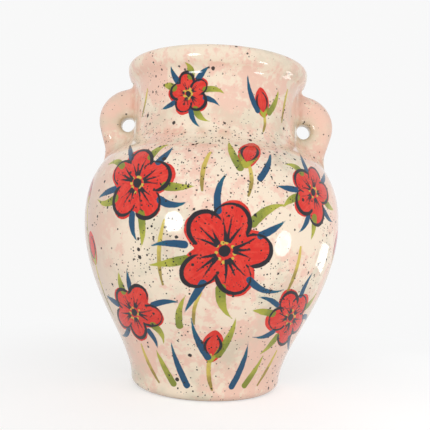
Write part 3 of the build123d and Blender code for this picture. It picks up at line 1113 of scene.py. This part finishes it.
points, faces, sharp, unrolled, chart = half_ring(
    COLLAR_FOOT, COLLAR_TOP, rows=54, lining_rows=12, columns=260)
make_piece(
    "collar_band", "collar", points, faces, PAINTED_GLAZE,
    paint(unrolled), sharp, chart)

points, faces, sharp = base_half_disc(columns=200)
make_piece("foot_slab", "base_slab", points, faces, FOOT_GLAZE, sharp=sharp)

points, faces, sharp = rim_roll()
make_piece("rolled_rim", "rim_coil", points, faces, PLAIN_GLAZE, sharp=sharp)

points, faces, sharp = slab_plate(rows=250, columns=26)
make_piece("wall_side_slab", "back_slab", points, faces, SLAB_GLAZE, sharp=sharp)

for ear_name, ear_side in (("left_ear", -1), ("right_ear", 1)):
    points, faces, seam = ear_tab(ear_side)
    make_piece(ear_name + "_tab", ear_name, points, faces, EAR_GLAZE, seam)

for coil in ("floor_coil", "left_coil", "right_coil"):
    coil_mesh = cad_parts[coil].data
    coil_mesh.materials.clear()
    coil_mesh.materials.append(PLAIN_GLAZE)


# Studio.

BACKDROP = 0.94
FILL = 0.59
FILL_FROM_RIGHT = 0.16
FILL_FROM_FRONT = 0.75
FILL_FRONT_END = 0.6
FILL_BEHIND = 1.15
FILL_BEHIND_CONE = 0.68, 0.96
LAMP_AIM = 0.0, -50.0, 118.0
FLOOR_FILL = 0.55
FLOOR_GREY = 0.62
FLOOR_LIFT = 0.50
FLOOR_FADE = 130.0, 340.0
FLOOR_RINGS = 20.0, 100.0, 200.0, 300.0, 450.0, 700.0, 1100.0, 1800.0


def set_world():
    """A pale surround: plain for what the camera, mirrors and glass see, and dimmer as fill light, which
    comes from the front and from straight behind, and more from the right than from the left."""
    world = bpy.data.worlds.new("studio")
    bpy.context.scene.world = world
    f = Finish(world)
    across, away = MM * f.part(0), MM * f.part(1)
    fill = FILL * (1.0 + FILL_FROM_RIGHT * across - FILL_FROM_FRONT * away.at_most(FILL_FRONT_END))
    fill = fill + FILL_BEHIND * f.step(away, *FILL_BEHIND_CONE)
    back = f.node("ShaderNodeBackground", None, {
        "Color": (1.0, 1.0, 1.0, 1.0), "Strength": fill + f.seen() * (BACKDROP - fill)})
    f.node("ShaderNodeOutputWorld", None, {"Surface": back})


def lamp(name, place, width, height, glow, shape="ELLIPSE"):
    """A soft lamp at a place (mm, height above the foot) that faces the belly; glow is its brightness,
    where 1 is white."""
    data = bpy.data.lights.new(name, "AREA")
    data.shape = shape
    data.size, data.size_y = width * MM, height * MM
    face = width * height * MM * MM * (math.pi / 4 if shape == "ELLIPSE" else 1.0)
    data.energy = glow * math.pi * face
    item = bpy.data.objects.new(name, data)
    spot = (Vector(place) + Vector((0.0, 0.0, FOOT_Z))) * MM
    aim = (Vector(LAMP_AIM) - Vector(place)) * MM
    item.matrix_world = Matrix.Translation(spot) @ aim.to_track_quat("-Z", "Y").to_matrix().to_4x4()
    item.visible_camera = False
    bpy.context.collection.objects.link(item)


def set_floor():
    """A round pale floor at the foot, which fades into the surround with its radius."""
    turn = np.linspace(0, 2 * np.pi, 97)[:-1]
    rings = np.array(FLOOR_RINGS)[:, None]
    points = np.stack(np.broadcast_arrays(rings * np.cos(turn), rings * np.sin(turn), FOOT_Z), -1) * MM
    faces = net(len(rings), len(turn))[:, ::-1].tolist() + [np.arange(len(turn)).tolist()]
    mesh = bpy.data.meshes.new("studio_floor")
    mesh.from_pydata(points.reshape(-1, 3), [], faces)
    mesh.update()
    material = bpy.data.materials.new("pale_floor")
    f = Finish(material)
    seen = f.seen()
    x, y = f.part(0), f.part(1)
    far = f.step((x ** 2.0 + y ** 2.0) ** 0.5, *FLOOR_FADE)
    matt = f.node("ShaderNodeBsdfDiffuse", None, {"Color": (FLOOR_GREY, FLOOR_GREY, FLOOR_GREY, 1.0)})
    lift = f.node("ShaderNodeEmission", None, {"Strength": FLOOR_LIFT * seen})
    near = f.node("ShaderNodeAddShader", None, {0: matt, 1: lift})
    plain = f.node("ShaderNodeEmission", None, {"Strength": FLOOR_FILL + (BACKDROP - FLOOR_FILL) * seen})
    mixed = f.node("ShaderNodeMixShader", None, {0: far, 1: near, 2: plain})
    f.node("ShaderNodeOutputMaterial", None, {"Surface": mixed})
    mesh.materials.append(material)
    floor = bpy.data.objects.new("studio_floor", mesh)
    bpy.context.collection.objects.link(floor)


set_world()
lamp("left_lamp", (-389.0, -700.0, 95.0), width=218.0, height=218.0, glow=13.9)
lamp("right_lamp", (281.0, -196.0, 58.0), width=88.0, height=92.0, glow=9.2)
lamp("right_strip", (340.0, 109.0, 46.0), width=100.0, height=70.0, glow=4.0, shape="RECTANGLE")
set_floor()
